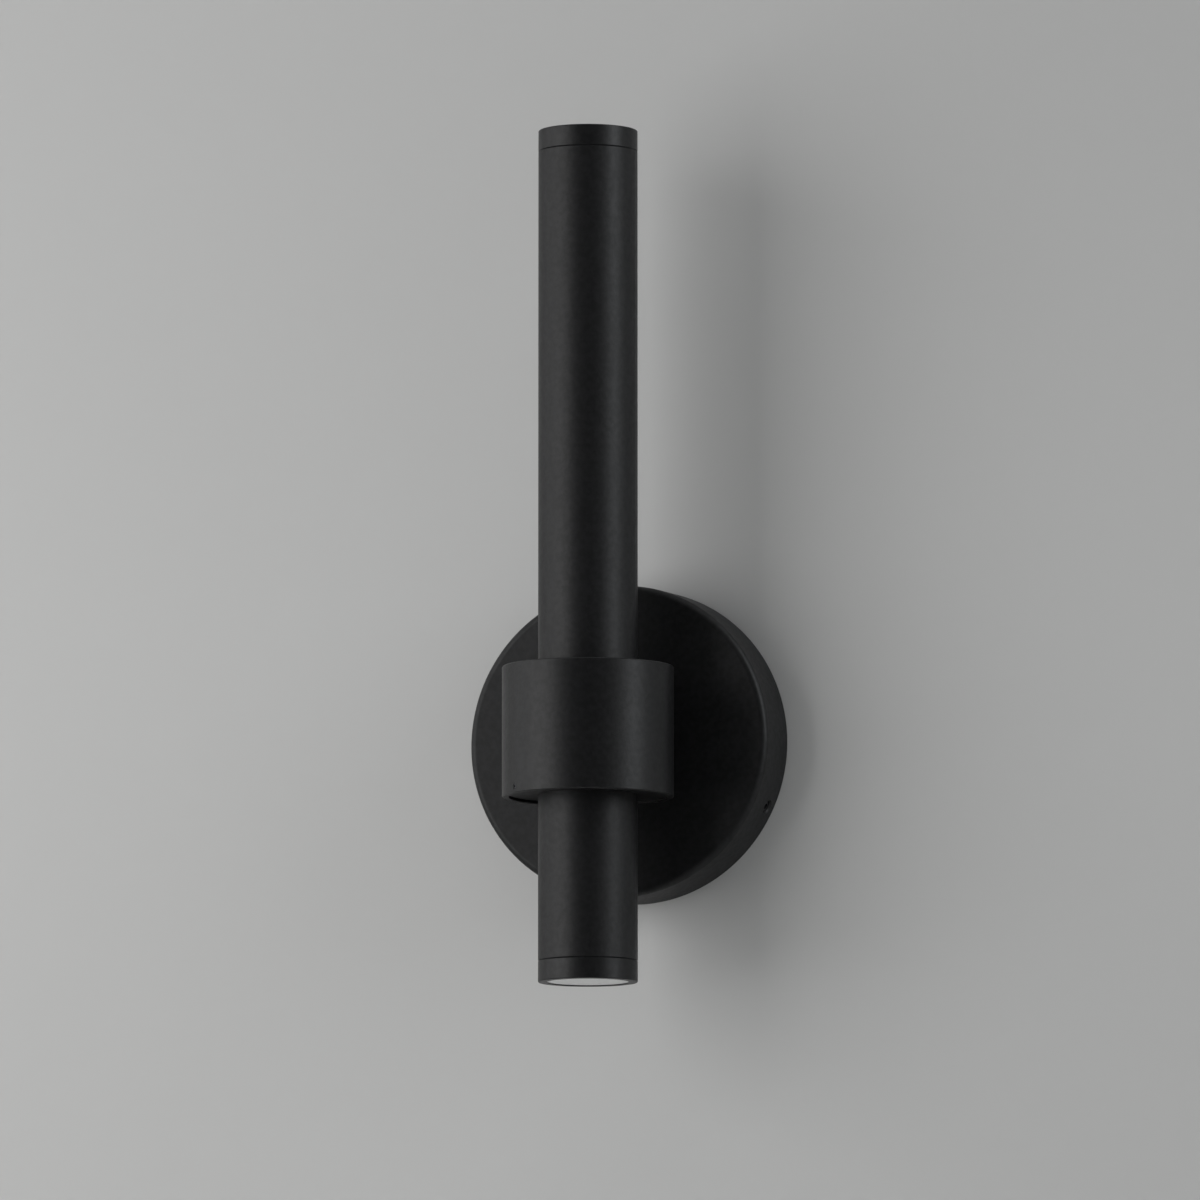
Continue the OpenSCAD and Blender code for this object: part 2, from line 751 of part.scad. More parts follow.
module lens_gasket() {
    color(seal_rubber) translate([0, 0, lens_back]) ring(lens_flange_r, module_r - mouth_rim, lens_gasket_t);
}

// Radius inside the reflector at a share of its height above the chip
function cone_r(share) =
    reflector_throat_r + (module_r - mouth_rim - reflector_throat_r) * pow(share, 0.85);

module reflector() {
    steps = 8;
    skirt_h = 3;
    inside = [for (i = [0 : steps]) [cone_r(i / steps), reflector_h * (1 - i / steps)]];
    outside = [for (i = [steps : -1 : 0]) [cone_r(i / steps) + reflector_wall, reflector_h * (1 - i / steps)]];
    color(mirror_finish) translate([0, 0, tube_end]) rotate_extrude() {
        polygon(concat(inside, outside));
        translate([cone_r(1) + reflector_wall / 2, 0]) square([mouth_rim - reflector_wall / 2, reflector_wall]);
        translate([module_r - reflector_wall, 0]) square([reflector_wall, skirt_h]);
    }
}

module at_board_screws() for (s = [-1, 1]) translate([s * board_screw_offset, 0, board_at]) children();

module at_led_leads() for (s = [-1, 1]) translate([s * lead_x, -lead_front, board_at]) children();

module led_chip() {
    half = chip_side / 2;
    frame_w = 0.6;
    color(phosphor) translate([0, 0, board_at - chip_t]) {
        translate([-half, -half, chip_t / 2]) cube([chip_side, chip_side, chip_t / 2]);
        cylinder(r = half - frame_w, h = chip_t);
    }
}

module led_board() {
    color(board_white) difference() {
        translate([0, 0, board_at]) cylinder(r = module_r, h = board_t);
        at_board_screws() translate([0, 0, -cut]) cylinder(r = board_screw_r + slide_gap, h = 2 * cut + board_t);
        at_led_leads() translate([0, 0, -cut]) cylinder(r = lead_hole_r, h = 2 * cut + board_t);
    }
}

module board_screws() {
    color(steel) at_board_screws() mirror([0, 0, 1])
        pan_screw(board_screw_r, board_t + sink_base_t - 1, small_head_r, small_head_t);
}

module heat_sink() {
    fin_count = 3;
    color(bare_aluminium) difference() {
        union() {
            translate([0, 0, sink_at]) cylinder(r = module_r, h = sink_base_t);
            intersection() {
                translate([0, 0, sink_at]) cylinder(r = fin_r, h = fins_end - sink_at);
                for (i = [-fin_count : fin_count])
                    translate([i * fin_pitch - fin_t / 2, -fin_r, sink_at])
                        cube([fin_t, 2 * fin_r, fins_end - sink_at]);
            }
            translate([0, 0, sink_at]) cylinder(d = post_d, h = fins_end - sink_at);
        }
        at_board_screws() translate([0, 0, board_t - cut])
            cylinder(r = board_screw_r + thread_gap, h = sink_base_t - 0.5 + cut);
        at_led_leads() cylinder(r = lead_hole_r, h = step_at + cut - board_at);
        translate([0, 0, fins_end - post_hole_depth])
            cylinder(r = bracket_screw_r + thread_gap, h = post_hole_depth + cut);
    }
}

module upper_bezel() upper_mouth() bezel();
module lower_bezel() lower_mouth() bezel();
module upper_lens() upper_mouth() lens();
module lower_lens() lower_mouth() lens();
module upper_lens_gasket() upper_mouth() lens_gasket();
module lower_lens_gasket() lower_mouth() lens_gasket();
module upper_reflector() upper_mouth() reflector();
module lower_reflector() lower_mouth() reflector();
module upper_led_chip() upper_mouth() led_chip();
module lower_led_chip() lower_mouth() led_chip();
module upper_led_board() upper_mouth() led_board();
module lower_led_board() lower_mouth() led_board();
module upper_board_screws() upper_mouth() board_screws();
module lower_board_screws() lower_mouth() board_screws();
module upper_heat_sink() upper_mouth() heat_sink();
module lower_heat_sink() lower_mouth() heat_sink();

// Driver and its bracket. Inside the tube, +y is the side towards the wall.

module at_driver_screws() {
    for (z = [driver_top + driver_tab / 2, driver_bottom - driver_tab / 2])
        translate([0, driver_back - driver_tab_t, z]) rotate([90, 0, 0]) children();
}

module driver() {
    edge = 2;
    color(driver_case) along_tube() difference() {
        union() {
            translate([-driver_w / 2, driver_back - driver_depth, driver_bottom])
                cube([driver_w, driver_depth, driver_len]);
            translate([-driver_w / 4, driver_back - driver_tab_t, driver_bottom - driver_tab])
                cube([driver_w / 2, driver_tab_t, driver_len + 2 * driver_tab]);
            translate([0, reach - exit_front, driver_top]) slot(upper_exit_len, exit_w, exit_h);
            translate([0, reach - exit_front, driver_bottom - exit_h]) slot(lower_exit_len, exit_w, exit_h);
        }
        at_driver_screws() cylinder(r = small_screw_r + slide_gap, h = 4 * driver_tab_t, center = true);
        for (x = [-1, 1], y = [driver_back - driver_depth, driver_back])
            translate([x * driver_w / 2, y, 0]) rotate(45) cube([edge, edge, 2 * light_h], center = true);
    }
}

module bracket_profile() {
    outer = bracket_t + bend_r;
    corner_at = [bracket_back - outer, foot_top - outer];
    translate([bracket_back - bracket_t, bracket_end]) square([bracket_t, corner_at[1] - bracket_end]);
    translate([-bracket_back, foot_bottom]) square([corner_at[0] + bracket_back, bracket_t]);
    translate(corner_at) intersection() {
        difference() {
            circle(r = outer);
            circle(r = bend_r);
        }
        square(outer);
    }
}

module driver_bracket() {
    color(zinc) along_tube() difference() {
        rotate([90, 0, 90]) translate([0, 0, -bracket_w / 2]) linear_extrude(bracket_w) bracket_profile();
        translate([0, 0, foot_bottom - cut])
            cylinder(r = bracket_screw_r + easy_gap, h = bracket_t + 2 * cut);
        at_driver_screws() cylinder(r = small_screw_r + thread_gap, h = 8 * driver_tab_t, center = true);
    }
}

module driver_screws() {
    color(steel) along_tube() at_driver_screws()
        pan_screw(small_screw_r, driver_tab_t + bracket_t + 0.8, small_head_r, small_head_t);
}

module bracket_screw() {
    color(steel) along_tube() translate([0, 0, foot_bottom]) mirror([0, 0, 1])
        pan_screw(bracket_screw_r, bracket_t + post_hole_depth - 4, 3.5, 2.2);
}

// Leads, in the wall frame: x right, y up, z out of the wall

supply_bend = 5;
led_bend = 2;
terminal_entry = terminal_up - terminal_l / 2;
driver_inlet = driver_bottom - exit_h;
driver_outlet = driver_top + exit_h;
outlet_run = 6;
inlet_run = 12;
ground_run = 12;
bore_lead_x = 1.5;
side_lead_x = (tube_bore + driver_w / 2) / 2;
lead_wall = reach + lead_front;
pad_level = board_at - led_lead_d / 2 - thread_gap;
pad_len = 3.5;
fin_clearance = 4;
side_end = fins_end - drop + 5 * fin_clearance;

module supply_lead(side, pole) {
    x = side * bore_lead_x;
    wall_frame() swept([
        [pole * pole_pitch, terminal_entry + entry_depth, pole_h],
        [pole * pole_pitch, terminal_entry - 5, pole_h],
        [x, 0, pole_h + 1],
        [x, 0, nipple_front + 5],
        [x, inlet_run, exit_front],
        [x, driver_inlet, exit_front]
    ], supply_lead_d, supply_bend);
}

module line_lead() color("#1b1b1d") supply_lead(-1, 0);
module neutral_lead() color("#e8e8e4") supply_lead(1, 1);

module ground_lead() {
    start = ground_pos[1] + barrel_from + 1;
    color(green) wall_frame() swept([
        [ground_pos[0], start, barrel_h],
        [ground_pos[0], start + ground_run, barrel_h],
        [-pole_pitch, terminal_entry - 9, barrel_h + 3],
        [-pole_pitch, terminal_entry - 4, pole_h],
        [-pole_pitch, terminal_entry + entry_depth, pole_h]
    ], supply_lead_d, supply_bend);
}

// Last stretch of a board's lead, from outside the fins to its pad; up is +1 for the upper board
function board_route(side, up, mouth) = [
    [side * lead_x, mouth - up * (fins_end + fin_clearance), lead_wall],
    [side * lead_x, mouth - up * pad_level, lead_wall],
    [side * (lead_x - pad_len), mouth - up * pad_level, lead_wall]
];

module upper_led_leads() {
    x = 2;
    color("#a83232") wall_frame() for (side = [-1, 1]) swept(concat(
        [
            [side * x, driver_outlet, exit_front],
            [side * x, driver_outlet + outlet_run, exit_front]
        ],
        board_route(side, 1, rise)
    ), led_lead_d, led_bend);
}

module lower_led_leads() {
    x = 5.5;
    over = driver_outlet + outlet_run;
    color("#a83232") wall_frame() for (side = [-1, 1]) swept(concat(
        [
            [side * x, driver_outlet, exit_front],
            [side * x, over, exit_front],
            [side * side_lead_x, over, reach],
            [side * side_lead_x, side_end, reach]
        ],
        board_route(side, -1, -drop)
    ), led_lead_d, led_bend);
}

mounting_plate();
wall_gasket();
ground_screw();
ground_ring_terminal();
terminal_block();
terminal_clamp_screws();
terminal_fixing_screws();
canopy();
canopy_set_screws();
neck_o_ring();
neck_saddle();
locating_pin();
threaded_nipple();
lock_washer();
hex_nut();
collar();
upper_collar_plate();
lower_collar_plate();
collar_plate_screws();
collar_spacer();
tube_gasket();
saddle_nut();
tube();
upper_bezel();
lower_bezel();
upper_lens();
lower_lens();
upper_lens_gasket();
lower_lens_gasket();
upper_reflector();
lower_reflector();
upper_led_chip();
lower_led_chip();
upper_led_board();
lower_led_board();
upper_board_screws();
lower_board_screws();
upper_heat_sink();
lower_heat_sink();
driver();
driver_bracket();
driver_screws();
bracket_screw();
line_lead();
neutral_lead();
ground_lead();
upper_led_leads();
lower_led_leads();
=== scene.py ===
"""Looks of the outdoor wall sconce: a black light tube with a collar in front of a round canopy.

Places and lengths are in metres, in the frame of the CAD model: X to the right, Y into the wall
and Z up.
"""

import json
import math

import bpy
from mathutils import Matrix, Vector


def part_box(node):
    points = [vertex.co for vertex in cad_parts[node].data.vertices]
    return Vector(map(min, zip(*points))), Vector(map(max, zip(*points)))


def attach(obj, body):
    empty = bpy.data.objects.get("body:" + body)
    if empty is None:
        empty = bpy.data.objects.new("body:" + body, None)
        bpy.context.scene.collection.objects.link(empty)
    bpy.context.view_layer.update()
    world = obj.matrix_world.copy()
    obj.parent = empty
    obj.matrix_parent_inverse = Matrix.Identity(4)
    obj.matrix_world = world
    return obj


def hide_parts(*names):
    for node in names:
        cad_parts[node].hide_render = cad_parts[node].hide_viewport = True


MM = 0.001

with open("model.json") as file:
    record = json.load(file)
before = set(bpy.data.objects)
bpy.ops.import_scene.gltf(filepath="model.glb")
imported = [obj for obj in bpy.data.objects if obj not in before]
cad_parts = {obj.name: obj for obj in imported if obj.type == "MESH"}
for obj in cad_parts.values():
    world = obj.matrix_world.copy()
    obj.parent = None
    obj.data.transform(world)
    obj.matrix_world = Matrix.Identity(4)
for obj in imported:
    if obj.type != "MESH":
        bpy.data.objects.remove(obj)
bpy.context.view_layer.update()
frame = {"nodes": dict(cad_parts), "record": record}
scene = bpy.context.scene


# Camera: solved from the photo's edges

CAMERA_PLACE = (1.76529, -5.10563, -0.5913)
CAMERA_FORWARD = (-0.32706, 0.93739, 0.11974)
CAMERA_LENS_MM = 402.2
CAMERA_SENSOR_MM = 36


def make_camera():
    data = bpy.data.cameras.new("camera")
    data.sensor_width = CAMERA_SENSOR_MM
    data.lens = CAMERA_LENS_MM
    data.clip_start, data.clip_end = 0.1, 60
    cam = bpy.data.objects.new("camera", data)
    scene.collection.objects.link(cam)
    cam.location = CAMERA_PLACE
    cam.rotation_mode = "QUATERNION"
    cam.rotation_quaternion = Vector(CAMERA_FORWARD).to_track_quat("-Z", "Y")
    scene.camera = cam


make_camera()


# Node helpers

class Graph:
    """A small builder for one node tree."""

    def __init__(self, tree):
        self.tree = tree
        tree.nodes.clear()

    def feed(self, socket, value):
        """Links or sets one input. A colour is written as three numbers."""
        if isinstance(value, bpy.types.NodeSocket):
            self.tree.links.new(value, socket)
        elif socket.type == "RGBA":
            socket.default_value = (*value, 1.0)
        else:
            socket.default_value = value

    def add(self, kind, inputs=None, **settings):
        node = self.tree.nodes.new(kind)
        for key, value in settings.items():
            setattr(node, key, value)
        for key, value in (inputs or {}).items():
            self.feed(node.inputs[key], value)
        return node

    def math(self, operation, a, b):
        return self.add("ShaderNodeMath", {0: a, 1: b}, operation=operation).outputs[0]

    def vector(self, operation, inputs, output="Vector"):
        return self.add("ShaderNodeVectorMath", inputs, operation=operation).outputs[output]

    def spread(self, value, low, high):
        """Maps 0..1 to low..high."""
        return self.add(
            "ShaderNodeMapRange", {"Value": value, "To Min": low, "To Max": high}
        ).outputs["Result"]

    def select(self, value, start, end):
        """A smooth step, from 0 at start to 1 at end."""
        return self.add(
            "ShaderNodeMapRange",
            {"Value": value, "From Min": start, "From Max": end},
            interpolation_type="SMOOTHSTEP",
        ).outputs["Result"]

    def mix(self, factor, a, b):
        """The colour a at factor 0, b at factor 1."""
        return self.add("ShaderNodeMix", {0: factor, 6: a, 7: b}, data_type="RGBA").outputs[2]

    def place(self, scale=(1, 1, 1), turn=(0, 0, 0)):
        """The place on the object, in metres, scaled and turned."""
        at = self.add("ShaderNodeTexCoord").outputs["Object"]
        return self.add(
            "ShaderNodeMapping", {"Vector": at, "Scale": scale, "Rotation": turn}
        ).outputs["Vector"]

    def noise(self, at, scale, detail, rough, distortion=0.0):
        """Noise of about 0.3 to 0.7, with 1 / scale metres from one hump to the next."""
        return self.add("ShaderNodeTexNoise", {
            "Vector": at,
            "Scale": scale,
            "Detail": detail,
            "Roughness": rough,
            "Distortion": distortion,
        }).outputs["Fac"]

    def bump(self, height, distance, strength, normal=None):
        inputs = {"Height": height, "Distance": distance, "Strength": strength}
        if normal is not None:
            inputs["Normal"] = normal
        return self.add("ShaderNodeBump", inputs).outputs["Normal"]

    def edges(self, radius, start=0.03, end=0.25):
        """1 near outer and inner edges, 0 on the faces."""
        rounded = self.add("ShaderNodeBevel", {"Radius": radius}, samples=4).outputs["Normal"]
        own = self.add("ShaderNodeNewGeometry").outputs["Normal"]
        across = self.vector("DOT_PRODUCT", {0: rounded, 1: own}, "Value")
        return self.select(self.math("SUBTRACT", 1.0, across), start, end)

    def surface(self, inputs, clear_behind=False):
        """The finished surface. With clear_behind, its back isn't seen and lets light through."""
        shader = self.add("ShaderNodeBsdfPrincipled", inputs).outputs["BSDF"]
        if clear_behind:
            back = self.add("ShaderNodeNewGeometry").outputs["Backfacing"]
            clear = self.add("ShaderNodeBsdfTransparent").outputs["BSDF"]
            either = self.add("ShaderNodeMixShader", {0: back, 1: shader, 2: clear})
            shader = either.outputs["Shader"]
        self.add("ShaderNodeOutputMaterial", {"Surface": shader})


def material(name):
    made = bpy.data.materials.new(name)
    made.use_nodes = True
    return made, Graph(made.node_tree)


def grey(value):
    return (value, value, value)


# Materials

def satin_coat(name, rough_low, rough_high):
    """Black powder coat: fine orange peel, faint mottle, soft clouds in the gloss, rubbed edges."""
    made, g = material(name)
    at = g.place()
    cloud = g.noise(at, 90, 5, 0.65)
    mottle = g.select(g.noise(at, 430, 3, 0.6), 0.32, 0.68)
    peel = g.noise(at, 800, 2, 0.5)
    grain = g.noise(at, 4200, 2, 0.5)
    speck = g.select(g.noise(at, 2600, 1, 0.4), 0.66, 0.74)
    edge = g.edges(0.3 * MM)
    base = g.mix(mottle, (0.0036, 0.0037, 0.0040), (0.0088, 0.0089, 0.0095))
    base = g.mix(g.math("MULTIPLY", speck, 0.3), base, (0.020, 0.020, 0.022))
    base = g.mix(g.math("MULTIPLY", edge, 0.12), base, (0.03, 0.03, 0.032))
    rough = g.math("ADD", g.spread(cloud, rough_low, rough_high), g.spread(grain, -0.03, 0.04))
    rough = g.math("ADD", rough, g.spread(mottle, 0.02, -0.02))
    rough = g.math("SUBTRACT", rough, g.math("MULTIPLY", edge, 0.02))
    g.surface({
        "Base Color": base,
        "Roughness": rough,
        "Normal": g.bump(grain, 0.012 * MM, 0.4, g.bump(peel, 0.045 * MM, 0.7)),
        "IOR": 1.5,
        "Specular IOR Level": 0.3,
    })
    return made


def zinc():
    """Bright zinc on rolled sheet: streaks, faint blue and yellow tints, dull sheared edges."""
    made, g = material("zinc_plated_steel")
    streak = g.noise(g.place((1, 1, 0.06)), 1400, 4, 0.6)
    cloud = g.noise(g.place(), 45, 5, 0.65, 1.2)
    edge = g.edges(0.4 * MM)
    base = g.mix(cloud, (0.60, 0.63, 0.66), (0.70, 0.68, 0.60))
    base = g.mix(g.math("MULTIPLY", streak, 0.35), base, (0.45, 0.47, 0.50))
    base = g.mix(g.math("MULTIPLY", edge, 0.4), base, (0.80, 0.80, 0.79))
    g.surface({
        "Base Color": base,
        "Metallic": 1.0,
        "Roughness": g.math("ADD", g.spread(streak, 0.24, 0.42), g.spread(cloud, -0.05, 0.06)),
        "Normal": g.bump(streak, 0.006 * MM, 0.5, g.bump(cloud, 0.05 * MM, 0.1)),
    })
    return made


def turned(name, dark, light, rough_low, rough_high, centre, axis, pitch):
    """Machined metal with turning marks round an axis through centre."""
    made, g = material(name)
    at = g.place()
    moved = g.vector("SUBTRACT", {0: at, 1: centre})
    flat = g.vector("MULTIPLY", {0: moved, 1: tuple(0.0 if a else 1.0 for a in axis)})
    radius = g.vector("LENGTH", {0: flat}, "Value")
    along = g.vector("DOT_PRODUCT", {0: moved, 1: axis}, "Value")
    path = g.add("ShaderNodeCombineXYZ", {0: radius, 1: along}).outputs["Vector"]
    marks = g.noise(path, 1 / pitch, 3, 0.7)
    stain = g.noise(at, 120, 4, 0.6)
    edge = g.edges(0.3 * MM)
    base = g.mix(marks, dark, light)
    base = g.mix(g.math("MULTIPLY", stain, 0.3), base, tuple(0.75 * c for c in dark))
    base = g.mix(g.math("MULTIPLY", edge, 0.5), base, light)
    rough = g.math("ADD", g.spread(marks, rough_low, rough_high), g.spread(stain, -0.03, 0.05))
    g.surface({
        "Base Color": base,
        "Metallic": 1.0,
        "Roughness": rough,
        "Normal": g.bump(marks, 0.012 * MM, 0.5),
    })
    return made


def dark_screw():
    """Blackened screw steel with rubbed edges and an oily, uneven gloss."""
    made, g = material("blackened_screw_steel")
    blotch = g.noise(g.place(), 700, 4, 0.6)
    scratch = g.noise(g.place((1, 0.1, 1), (0.3, 0.2, 0.5)), 5200, 2, 0.5)
    edge = g.edges(0.18 * MM, 0.02, 0.2)
    base = g.mix(blotch, (0.035, 0.036, 0.040), (0.075, 0.075, 0.080))
    base = g.mix(g.math("MULTIPLY", edge, 0.5), base, (0.30, 0.30, 0.31))
    g.surface({
        "Base Color": base,
        "Metallic": 0.9,
        "Roughness": g.spread(blotch, 0.32, 0.52),
        "Normal": g.bump(scratch, 0.004 * MM, 0.5),
    })
    return made


def rubber():
    """Moulded black rubber: matt, dusty in patches, with a faint bloom."""
    made, g = material("seal_rubber")
    at = g.place()
    dust = g.noise(at, 380, 5, 0.65)
    grain = g.noise(at, 3600, 2, 0.5)
    g.surface({
        "Base Color": g.mix(dust, (0.012, 0.012, 0.013), (0.034, 0.034, 0.034)),
        "Roughness": g.spread(dust, 0.62, 0.86),
        "Normal": g.bump(grain, 0.02 * MM, 0.5),
        "Sheen Weight": 0.08,
        "Sheen Roughness": 0.5,
    })
    return made


def frosted_glass():
    """Etched glass: milky, with a fine sanded grain and a paler rim."""
    made, g = material("frosted_glass")
    at = g.place()
    grain = g.noise(at, 3800, 3, 0.6)
    cloud = g.noise(at, 140, 3, 0.5)
    edge = g.edges(0.5 * MM)
    base = g.mix(cloud, (0.88, 0.89, 0.88), (0.93, 0.94, 0.93))
    base = g.mix(g.math("MULTIPLY", edge, 0.5), base, (0.95, 0.96, 0.95))
    g.surface({
        "Base Color": base,
        "Roughness": g.spread(grain, 0.26, 0.40),
        "Transmission Weight": 0.15,
        "IOR": 1.47,
        "Subsurface Weight": 0.35,
        "Subsurface Radius": (1.0, 1.0, 0.95),
        "Subsurface Scale": 0.003,
        "Normal": g.bump(grain, 0.01 * MM, 0.5),
    })
    return made


def mirror():
    """Metallised plastic: bright, with the ripple of the moulding and a few dull spots."""
    made, g = material("metallised_reflector")
    at = g.place()
    ripple = g.noise(at, 420, 2, 0.4)
    spots = g.select(g.noise(at, 900, 2, 0.4), 0.6, 0.72)
    g.surface({
        "Base Color": g.mix(spots, (0.88, 0.89, 0.90), (0.70, 0.71, 0.72)),
        "Metallic": 1.0,
        "Roughness": g.spread(spots, 0.10, 0.28),
        "Normal": g.bump(ripple, 0.05 * MM, 0.2),
    })
    return made


def board():
    """White solder mask over copper, with a few traces that stand out a little."""
    made, g = material("white_circuit_board")
    at = g.place()
    traces = g.add(
        "ShaderNodeTexBrick", {"Vector": at, "Scale": 220.0, "Mortar Size": 0.035}
    ).outputs["Fac"]
    mottle = g.noise(at, 600, 3, 0.6)
    base = g.mix(mottle, (0.80, 0.80, 0.78), (0.88, 0.88, 0.86))
    g.surface({
        "Base Color": g.mix(g.math("MULTIPLY", traces, 0.35), base, (0.72, 0.73, 0.66)),
        "Roughness": g.spread(mottle, 0.34, 0.48),
        "Normal": g.bump(traces, 0.03 * MM, 0.4),
    })
    return made


def phosphor():
    """Yellow phosphor gel with the dies showing through as darker dots."""
    made, g = material("led_phosphor")
    at = g.place()
    dots = g.add(
        "ShaderNodeTexVoronoi", {"Vector": at, "Scale": 900.0, "Randomness": 0.15}
    ).outputs["Distance"]
    gel = g.noise(at, 700, 3, 0.5)
    g.surface({
        "Base Color": g.mix(g.select(dots, 0.2, 0.45), (0.62, 0.40, 0.05), (0.86, 0.66, 0.12)),
        "Roughness": g.spread(gel, 0.22, 0.36),
        "Subsurface Weight": 0.2,
        "Subsurface Scale": 0.001,
        "Normal": g.bump(gel, 0.03 * MM, 0.3),
    })
    return made


def plastic(name, low, high, rough_low, rough_high, texture_scale):
    """Moulded plastic with a spark eroded texture, flow clouds and paler edges."""
    made, g = material(name)
    texture = g.noise(g.place(), texture_scale, 3, 0.6)
    flow = g.noise(g.place((1, 1, 0.4)), 90, 4, 0.6, 0.8)
    edge = g.edges(0.35 * MM)
    pale = tuple(min(1.0, 1.12 * c + 0.01) for c in high)
    base = g.mix(g.math("MULTIPLY", edge, 0.35), g.mix(flow, low, high), pale)
    rubbed = g.math("MULTIPLY", edge, -0.05)
    g.surface({
        "Base Color": base,
        "Roughness": g.math("ADD", g.spread(texture, rough_low, rough_high), rubbed),
        "Subsurface Weight": 0.06,
        "Subsurface Scale": 0.001,
        "Normal": g.bump(texture, 0.02 * MM, 0.45),
    })
    return made


def green_screw():
    """Green dyed zinc, rubbed bright along the edges."""
    made, g = material("green_dyed_zinc")
    blotch = g.noise(g.place(), 500, 4, 0.6)
    edge = g.edges(0.25 * MM)
    base = g.mix(blotch, (0.03, 0.20, 0.07), (0.07, 0.32, 0.12))
    g.surface({
        "Base Color": g.mix(g.math("MULTIPLY", edge, 0.7), base, (0.48, 0.55, 0.48)),
        "Metallic": 0.85,
        "Roughness": g.spread(blotch, 0.26, 0.46),
        "Normal": g.bump(blotch, 0.01 * MM, 0.3),
    })
    return made


def insulation(name, low, high):
    return plastic(name, low, high, 0.34, 0.5, 2200)


TUBE_AXIS_Y = -60.8 * MM

SLOT_MATERIALS = {
    "coat": satin_coat("satin_black_coat", 0.38, 0.44),
    "zinc_plate": zinc(),
    "steel_screw": dark_screw(),
    "bare_aluminium": turned(
        "machined_aluminium", (0.55, 0.56, 0.57), (0.80, 0.81, 0.82), 0.22, 0.42,
        centre=(0, TUBE_AXIS_Y, 0), axis=(0, 0, 1), pitch=0.35 * MM,
    ),
    "brass": turned(
        "machined_brass", (0.52, 0.37, 0.13), (0.80, 0.62, 0.30), 0.18, 0.36,
        centre=(0, 0, 0), axis=(0, 1, 0), pitch=0.3 * MM,
    ),
    "seal_rubber": rubber(),
    "frosted_glass": frosted_glass(),
    "reflector": mirror(),
    "board": board(),
    "led": phosphor(),
    "nylon": plastic("natural_nylon", (0.72, 0.68, 0.57), (0.82, 0.79, 0.70), 0.36, 0.56, 2600),
    "driver_case": plastic(
        "driver_case_plastic", (0.70, 0.70, 0.67), (0.79, 0.79, 0.76), 0.42, 0.62, 1900
    ),
    "ground_green": green_screw(),
    "lead_black": insulation("black_insulation", (0.010, 0.010, 0.011), (0.022, 0.022, 0.023)),
    "lead_white": insulation("white_insulation", (0.74, 0.74, 0.71), (0.82, 0.82, 0.80)),
    "lead_green": insulation("green_insulation", (0.03, 0.20, 0.07), (0.05, 0.29, 0.11)),
    "lead_red": insulation("red_insulation", (0.34, 0.03, 0.03), (0.46, 0.05, 0.05)),
}

# The photo shows the long tube and the canopy a little duller than the collar and the bezels
NODE_MATERIALS = {
    "tube": satin_coat("satin_black_tube_coat", 0.42, 0.49),
    "canopy": satin_coat("satin_black_canopy_coat", 0.45, 0.51),
}

slot_of = {row["node"]: row["material_slot"] for row in frame["record"]["subparts"]}
for node_name, node in frame["nodes"].items():
    for material_slot in node.material_slots:
        material_slot.material = NODE_MATERIALS.get(node_name, SLOT_MATERIALS[slot_of[node_name]])


# The one piece that isn't a solid of the CAD model as it is

FLUSH_SCREWS_OUT = 0.35 * MM


def make_flush_screws():
    """The collar's four small screws, further out than the solids, so that their ends are flush.

    The photo shows the end of the lower left one hardly darker than the collar.
    """
    data = frame["nodes"]["collar_plate_screws"].data.copy()
    low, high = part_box("collar")
    middle = (low + high) / 2
    screws = {}
    for v in data.vertices:
        screws.setdefault((v.co.x > middle.x, v.co.z > middle.z), []).append(v)
    for points in screws.values():
        out = sum((v.co - middle for v in points), Vector())
        out.z = 0
        out.normalize()
        for v in points:
            v.co += FLUSH_SCREWS_OUT * out
    obj = bpy.data.objects.new("flush_collar_screws", data)
    scene.collection.objects.link(obj)
    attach(obj, "root")
    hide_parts("collar_plate_screws")


make_flush_screws()


# Stage: a wall that is open where the canopy stands, and a floor, both clear from behind

WALL_Y = 0.2 * MM
WALL_HALF_WIDTH = 3.0
WALL_TOP = 2.6
# Height up to which the wall paint darkens: painted shade of the light falling off upwards
WALL_TOP_SHADE_HEIGHT = 0.32
CANOPY_COVERS = 0.7 * MM    # how far the canopy reaches over the wall's opening
FLOOR_Z = -1.2
FLOOR_HALF_WIDTH = 30.0


def stage_material(name, low, high, scale, top_shade_share=0.0):
    """Matt paint, with painted shade towards the top: the colour darkens from none at height 0 to
    the given share at the given height and above, for light that falls off upwards.
    """
    made, g = material(name)
    at = g.place()
    paint = g.mix(g.noise(at, scale, 5, 0.6), low, high)
    # Painted shade: the paint gets darker towards the top
    height = g.add("ShaderNodeSeparateXYZ", {0: at}).outputs["Z"]
    darker = g.math("MULTIPLY", g.select(height, 0.0, WALL_TOP_SHADE_HEIGHT), top_shade_share)
    grain = g.noise(at, 900, 3, 0.6)
    g.surface({
        "Base Color": g.mix(darker, paint, grey(0)),
        "Roughness": 0.85,
        "Specular IOR Level": 0.15,
        "Normal": g.bump(grain, 0.03 * MM, 0.25),
    }, clear_behind=True)
    return made


def mesh_object(name, points, faces, made):
    data = bpy.data.meshes.new(name)
    data.from_pydata(points, [], faces)
    data.materials.append(made)
    obj = bpy.data.objects.new(name, data)
    scene.collection.objects.link(obj)
    return obj


